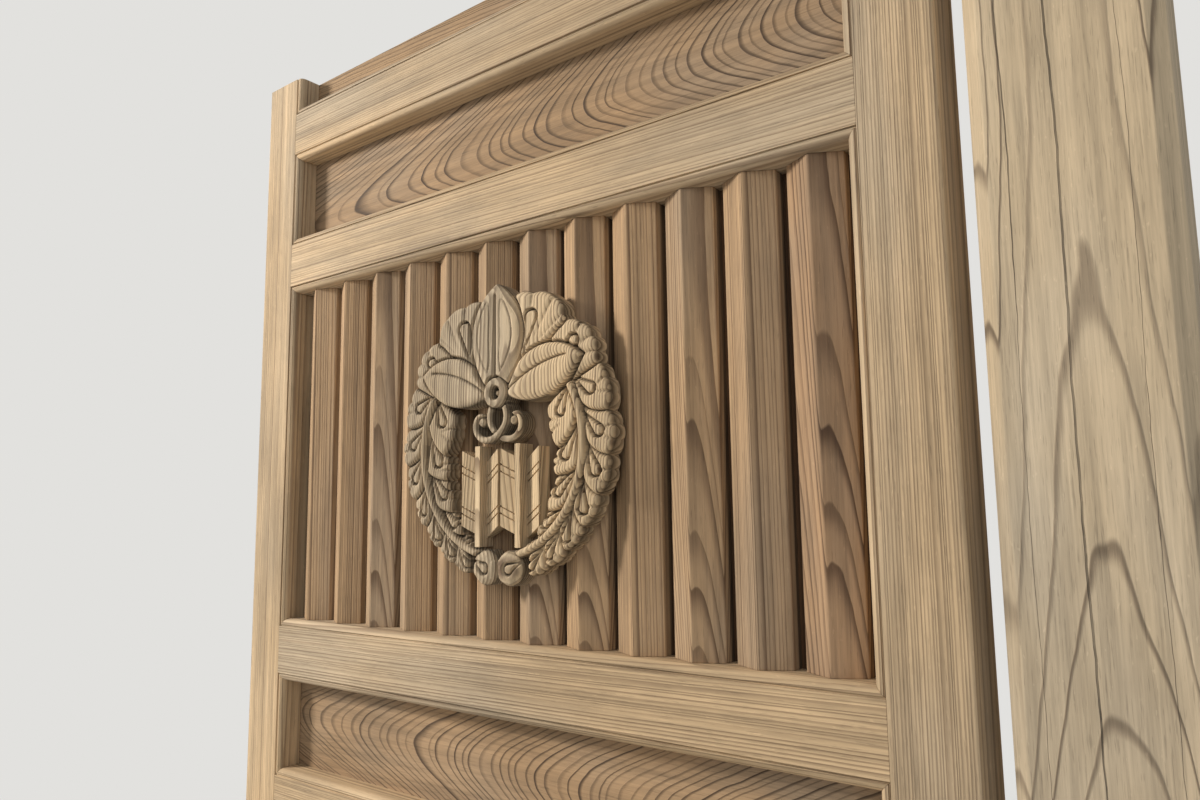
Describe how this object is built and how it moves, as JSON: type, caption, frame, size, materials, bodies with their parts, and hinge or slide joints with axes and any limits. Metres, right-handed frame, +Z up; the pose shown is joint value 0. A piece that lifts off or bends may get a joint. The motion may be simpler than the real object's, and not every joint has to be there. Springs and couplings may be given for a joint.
{
  "type": "carved timber gate door with frame",
  "caption": "Framed timber gate leaf with ridged lattice bars and a carved flower wreath, on pivots in a post-and-beam doorway frame.",
  "frame": {"origin": "centre of the hinge post's foot, on the ground", "axes": "+Z up; the doorway runs from the hinge post along -X to the strike post; the leaf swings on the +Y side, and -Y is the outside; at rest the leaf stands open at a right angle, along +Y"},
  "size_m": [1.426, 1.393, 2.48],
  "materials": {
    "leaf_wood": "weathered, open grain, unvarnished",
    "panel_wood": "weathered, flat-sawn figure, unvarnished",
    "lattice_wood": "weathered, unvarnished",
    "crest_wood": "carved, weathered, unvarnished",
    "frame_wood": "weathered, checked, unvarnished",
    "iron": "forged, dull"
  },
  "bodies": {
    "frame": {"block_spikes": "iron", "frame_pegs": "frame_wood", "head_beam": "frame_wood", "head_stop": "frame_wood", "hinge_post": "frame_wood", "lower_pivot_block": "frame_wood", "lower_socket": "iron", "sill": "frame_wood", "sill_stop": "frame_wood", "stop_nails": "iron", "strike_post": "frame_wood", "strike_stop": "frame_wood", "upper_pivot_block": "frame_wood", "upper_socket": "iron"},
    "leaf": {"backing_board_1": "panel_wood", "backing_board_2": "panel_wood", "backing_board_3": "panel_wood", "backing_board_4": "panel_wood", "backing_board_5": "panel_wood", "bottom_rail": "leaf_wood", "carved_wreath": "crest_wood", "crest_dowels": "crest_wood", "free_stile": "leaf_wood", "frieze_rail": "leaf_wood", "hinge_stile": "leaf_wood", "lattice_bar_01": "lattice_wood", "lattice_bar_02": "lattice_wood", "lattice_bar_03": "lattice_wood", "lattice_bar_04": "lattice_wood", "lattice_bar_05": "lattice_wood", "lattice_bar_06": "lattice_wood", "lattice_bar_07": "lattice_wood", "lattice_bar_08": "lattice_wood", "lattice_bar_09": "lattice_wood", "lattice_bar_10": "lattice_wood", "lattice_bar_11": "lattice_wood", "lattice_bar_12": "lattice_wood", "lattice_rail": "leaf_wood", "left_feather": "crest_wood", "lower_panel": "panel_wood", "lower_pivot_pin": "iron", "middle_panel": "panel_wood", "right_feather": "crest_wood", "top_panel": "panel_wood", "upper_panel": "panel_wood", "upper_pivot_pin": "iron", "upper_rail": "leaf_wood", "waist_rail": "leaf_wood"}
  },
  "joints": [
    {"name": "leaf_swing", "type": "hinge", "parent": "frame", "child": "leaf", "pos_m": [-0.045, 0.139, 0], "axis": [0, 0, 1], "range_deg": [-15, 90]}
  ]
}
